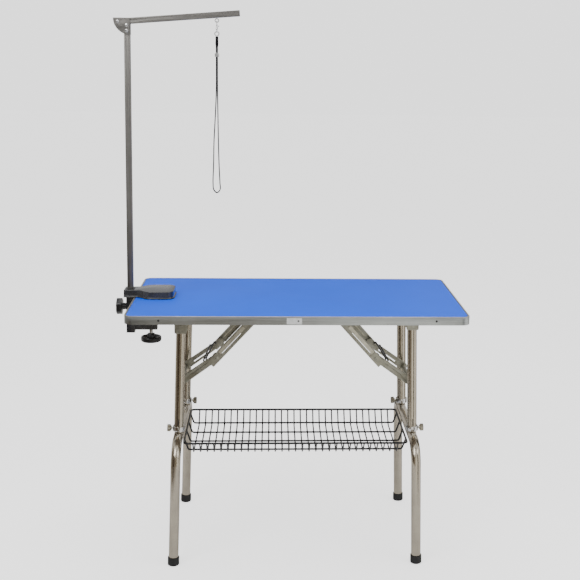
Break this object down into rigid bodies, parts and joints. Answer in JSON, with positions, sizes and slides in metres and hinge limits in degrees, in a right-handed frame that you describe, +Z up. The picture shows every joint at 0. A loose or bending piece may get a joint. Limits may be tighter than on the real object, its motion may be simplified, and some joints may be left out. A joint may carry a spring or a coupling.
{
  "type": "grooming table",
  "caption": "Folding grooming table with a blue rubber-matted top, tubular folding legs with locking braces, a wire basket, and a clamped post whose arm holds a noose.",
  "frame": {"origin": "on the floor, under the middle of the table's overall box", "axes": "+Z up, +X along the table away from the post, +Y towards its back"},
  "size_m": [1.162, 0.6009, 1.8109],
  "materials": {
    "aluminium_trim": "brushed",
    "plywood": "satin",
    "blue_rubber": "matt, fine texture",
    "white_label": "satin",
    "stainless_tube": "polished",
    "chromed_hardware": "polished",
    "galvanised_steel": "dull zinc",
    "black_rubber": "matt",
    "black_wire": "plastic coated",
    "black_casting": "gloss",
    "black_knob": "gloss",
    "black_nylon": "woven"
  },
  "bodies": {
    "table_top": {"edge_trim": "aluminium_trim", "top_board": "plywood", "rubber_mat": "blue_rubber", "blank_label": "white_label", "hinge_bracket_left_front": "galvanised_steel", "hinge_bracket_left_rear": "galvanised_steel", "brace_mount_left": "galvanised_steel", "hinge_bracket_right_front": "galvanised_steel", "hinge_bracket_right_rear": "galvanised_steel", "brace_mount_right": "galvanised_steel", "clamp_bracket": "black_casting", "clamp_jaw": "black_casting"},
    "left_leg": {"leg_tube_left_front": "stainless_tube", "leg_tube_left_rear": "stainless_tube", "cross_tube_left": "galvanised_steel", "collar_left_front": "chromed_hardware", "collar_left_rear": "chromed_hardware"},
    "left_foot": {"foot_frame_left": "stainless_tube", "rubber_foot_left_front": "black_rubber", "rubber_foot_left_rear": "black_rubber"},
    "left_upper_brace": {"brace_upper_left_front": "galvanised_steel", "brace_upper_left_rear": "galvanised_steel"},
    "left_lower_brace": {"brace_lower_left_front": "galvanised_steel", "brace_lower_left_rear": "galvanised_steel"},
    "left_front_thumbscrew": {"thumbscrew_left_front": "chromed_hardware"},
    "left_rear_thumbscrew": {"thumbscrew_left_rear": "chromed_hardware"},
    "right_leg": {"leg_tube_right_front": "stainless_tube", "leg_tube_right_rear": "stainless_tube", "cross_tube_right": "galvanised_steel", "collar_right_front": "chromed_hardware", "collar_right_rear": "chromed_hardware"},
    "right_foot": {"foot_frame_right": "stainless_tube", "rubber_foot_right_front": "black_rubber", "rubber_foot_right_rear": "black_rubber"},
    "right_upper_brace": {"brace_upper_right_front": "galvanised_steel", "brace_upper_right_rear": "galvanised_steel"},
    "right_lower_brace": {"brace_lower_right_front": "galvanised_steel", "brace_lower_right_rear": "galvanised_steel"},
    "right_front_thumbscrew": {"thumbscrew_right_front": "chromed_hardware"},
    "right_rear_thumbscrew": {"thumbscrew_right_rear": "chromed_hardware"},
    "basket": {"basket": "black_wire"},
    "post": {"post": "stainless_tube", "head_plate_front": "stainless_tube", "head_plate_rear": "stainless_tube", "arm_pivot": "chromed_hardware", "head_rivet": "chromed_hardware"},
    "arm": {"arm": "stainless_tube", "arm_eye": "chromed_hardware"},
    "snap": {"snap_hook": "chromed_hardware"},
    "noose": {"swivel_eye": "chromed_hardware", "noose_ring": "chromed_hardware", "noose_stem": "black_nylon", "noose_loop": "black_nylon"},
    "slider": {"noose_slider": "chromed_hardware"},
    "side_knob": {"side_knob": "black_knob"},
    "clamp_pad": {"clamp_pad": "black_casting"},
    "clamp_screw": {"clamp_screw": "stainless_tube", "handwheel": "black_knob"}
  },
  "joints": [
    {"name": "left_fold", "type": "hinge", "parent": "table_top", "child": "left_leg", "pos_m": [-0.351, 0, 0.78], "axis": [0, -1, 0], "range_deg": [0, 80]},
    {"name": "left_upper_brace_turn", "type": "hinge", "parent": "table_top", "child": "left_upper_brace", "pos_m": [-0.108, 0, 0.8], "axis": [0, -1, 0], "range_deg": [-32.85, 0]},
    {"name": "left_lower_brace_turn", "type": "hinge", "parent": "left_leg", "child": "left_lower_brace", "pos_m": [-0.35637, 0, 0.57507], "axis": [0, -1, 0], "range_deg": [0, 60.25]},
    {"name": "left_extension", "type": "slide", "parent": "left_leg", "child": "left_foot", "axis": [0.0262, 0, 0.9997], "range_m": [-0.1, 0]},
    {"name": "left_front_thumbscrew_turn", "type": "hinge", "parent": "left_leg", "child": "left_front_thumbscrew", "pos_m": [-0.36014, -0.148, 0.43095], "axis": [-0.9997, 0, 0.0262], "range_deg": [-180, 180]},
    {"name": "left_rear_thumbscrew_turn", "type": "hinge", "parent": "left_leg", "child": "left_rear_thumbscrew", "pos_m": [-0.36014, 0.148, 0.43095], "axis": [0.9997, 0, -0.0262], "range_deg": [-180, 180]},
    {"name": "right_fold", "type": "hinge", "parent": "table_top", "child": "right_leg", "pos_m": [0.413, 0, 0.794], "axis": [0, 1, 0], "range_deg": [0, 86]},
    {"name": "right_upper_brace_turn", "type": "hinge", "parent": "table_top", "child": "right_upper_brace", "pos_m": [0.17, 0, 0.803], "axis": [0, 1, 0], "range_deg": [-38.46, 0]},
    {"name": "right_lower_brace_turn", "type": "hinge", "parent": "right_leg", "child": "right_lower_brace", "pos_m": [0.41873, 0, 0.57508], "axis": [0, 1, 0], "range_deg": [0, 60.27]},
    {"name": "right_extension", "type": "slide", "parent": "right_leg", "child": "right_foot", "axis": [-0.0262, 0, 0.9997], "range_m": [-0.1, 0]},
    {"name": "right_front_thumbscrew_turn", "type": "hinge", "parent": "right_leg", "child": "right_front_thumbscrew", "pos_m": [0.42251, -0.148, 0.43095], "axis": [0.9997, 0, 0.0262], "range_deg": [-180, 180]},
    {"name": "right_rear_thumbscrew_turn", "type": "hinge", "parent": "right_leg", "child": "right_rear_thumbscrew", "pos_m": [0.42251, 0.148, 0.43095], "axis": [-0.9997, 0, -0.0262], "range_deg": [-180, 180]},
    {"name": "basket_drop", "type": "slide", "parent": "table_top", "child": "basket", "axis": [0, 0, 1], "range_m": [-0.1, 0]},
    {"name": "post_height", "type": "slide", "parent": "table_top", "child": "post", "axis": [0, 0, 1], "range_m": [-0.3, 0.03]},
    {"name": "arm_fold", "type": "hinge", "parent": "post", "child": "arm", "pos_m": [-0.563, 0, 1.767], "axis": [0, -1, 0], "range_deg": [0, 262]},
    {"name": "snap_swing", "type": "hinge", "parent": "arm", "child": "snap", "pos_m": [-0.241, 0, 1.77017], "axis": [0, 1, 0], "range_deg": [-18, 18]},
    {"name": "swivel_turn", "type": "hinge", "parent": "snap", "child": "noose", "pos_m": [-0.241, 0, 1.74617], "axis": [0, 0, 1], "continuous": true},
    {"name": "slider_travel", "type": "slide", "parent": "noose", "child": "slider", "axis": [0, 0, -1], "range_m": [0, 0.3], "deforming": ["noose_loop"]},
    {"name": "side_knob_turn", "type": "hinge", "parent": "table_top", "child": "side_knob", "pos_m": [-0.548, 0, 0.813], "axis": [-1, 0, 0], "range_deg": [-180, 180]},
    {"name": "clamp_travel", "type": "slide", "parent": "table_top", "child": "clamp_pad", "axis": [0, 0, -1], "range_m": [0, 0.03]},
    {"name": "clamp_turn", "type": "hinge", "parent": "clamp_pad", "child": "clamp_screw", "pos_m": [-0.466, 0, 0.72], "axis": [0, 0, 1], "range_deg": [0, 2160]}
  ],
  "couplings": [
    {"joint": "left_upper_brace_turn", "follows": "left_fold", "ratio": -0.4044},
    {"joint": "left_lower_brace_turn", "follows": "left_fold", "ratio": 0.7469},
    {"joint": "right_upper_brace_turn", "follows": "right_fold", "ratio": -0.4414},
    {"joint": "right_lower_brace_turn", "follows": "right_fold", "ratio": 0.695},
    {"joint": "right_extension", "follows": "left_extension", "ratio": 1},
    {"joint": "basket_drop", "follows": "left_extension", "ratio": 1},
    {"joint": "clamp_turn", "follows": "clamp_travel", "rad_per_m": 1256.6}
  ]
}
